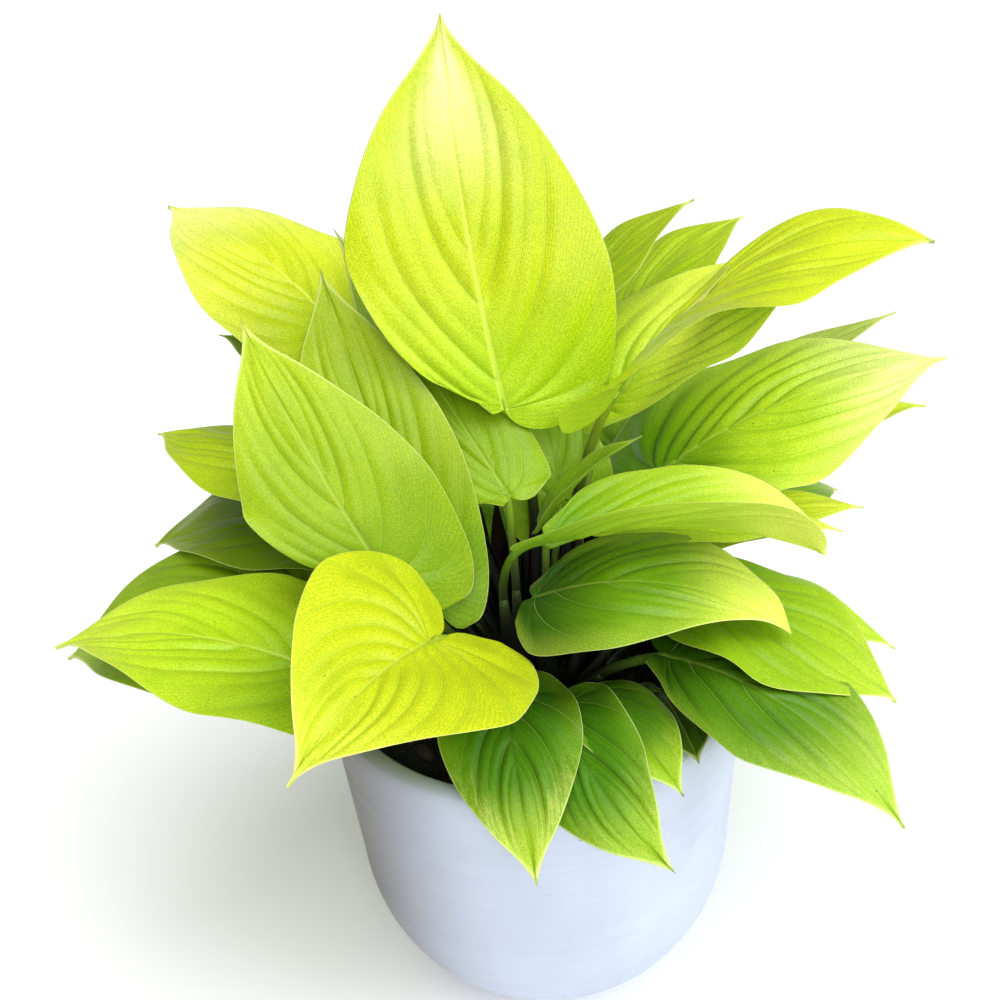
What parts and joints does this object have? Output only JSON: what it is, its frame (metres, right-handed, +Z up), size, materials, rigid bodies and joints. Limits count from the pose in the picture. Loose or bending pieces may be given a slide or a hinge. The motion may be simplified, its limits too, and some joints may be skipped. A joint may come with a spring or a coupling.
{
  "type": "potted lemon lime homalomena",
  "caption": "Compact aroid house plant with heart-shaped chartreuse and green leaves on slender stalks, growing from dark potting mix in a plain white round-bottomed pot.",
  "frame": {"origin": "centre of the pot's flat foot, on the surface the pot stands on", "axes": "+Z up along the pot's axis, -Y towards the side seen in the picture, +X to the right as seen from there"},
  "size_m": [0.3543, 0.3074, 0.3683],
  "materials": {
    "pot_ceramic": "matte white with faint turning marks and some green algae specks at the rim",
    "potting_mix": "moist, nearly black, crumbly",
    "chartreuse_leaf": "soft sheen with fine netted veins",
    "yellow_leaf": "soft sheen with fine netted veins",
    "lime_leaf": "soft sheen with fine netted veins",
    "fresh_green_leaf": "soft sheen with fine netted veins",
    "deep_green_leaf": "soft sheen with fine netted veins",
    "dark_leaf": "soft sheen with fine netted veins"
  },
  "bodies": {
    "root": {"pot": "pot_ceramic", "soil": "potting_mix", "crown_leaf": "chartreuse_leaf", "inner_left_leaf": "lime_leaf", "left_rear_leaf": "lime_leaf", "left_front_leaf": "lime_leaf", "heart_leaf": "yellow_leaf", "low_left_leaf": "lime_leaf", "low_left_under_leaf": "fresh_green_leaf", "mid_left_leaf": "deep_green_leaf", "small_left_leaf": "lime_leaf", "high_left_leaf": "lime_leaf", "small_high_left_leaf": "deep_green_leaf", "high_right_inner_leaf": "fresh_green_leaf", "high_right_outer_leaf": "fresh_green_leaf", "high_right_broad_leaf": "lime_leaf", "high_right_long_leaf": "lime_leaf", "right_broad_leaf": "lime_leaf", "right_back_leaf": "fresh_green_leaf", "right_under_leaf": "lime_leaf", "folded_right_leaf": "lime_leaf", "right_low_under_leaf": "deep_green_leaf", "right_yellow_tip_leaf": "lime_leaf", "centre_right_leaf": "fresh_green_leaf", "low_right_leaf": "fresh_green_leaf", "low_right_rear_leaf": "fresh_green_leaf", "low_right_front_leaf": "deep_green_leaf", "front_centre_leaf": "fresh_green_leaf", "front_right_leaf": "fresh_green_leaf", "front_right_under_leaf": "deep_green_leaf", "small_dark_leaf": "dark_leaf", "inner_dark_leaf": "deep_green_leaf", "narrow_young_leaf": "fresh_green_leaf", "back_left_leaf": "lime_leaf", "back_high_leaf": "lime_leaf", "back_right_leaf": "fresh_green_leaf", "back_low_left_leaf": "deep_green_leaf", "back_low_leaf": "deep_green_leaf", "back_low_right_leaf": "deep_green_leaf"}
  },
  "joints": []
}
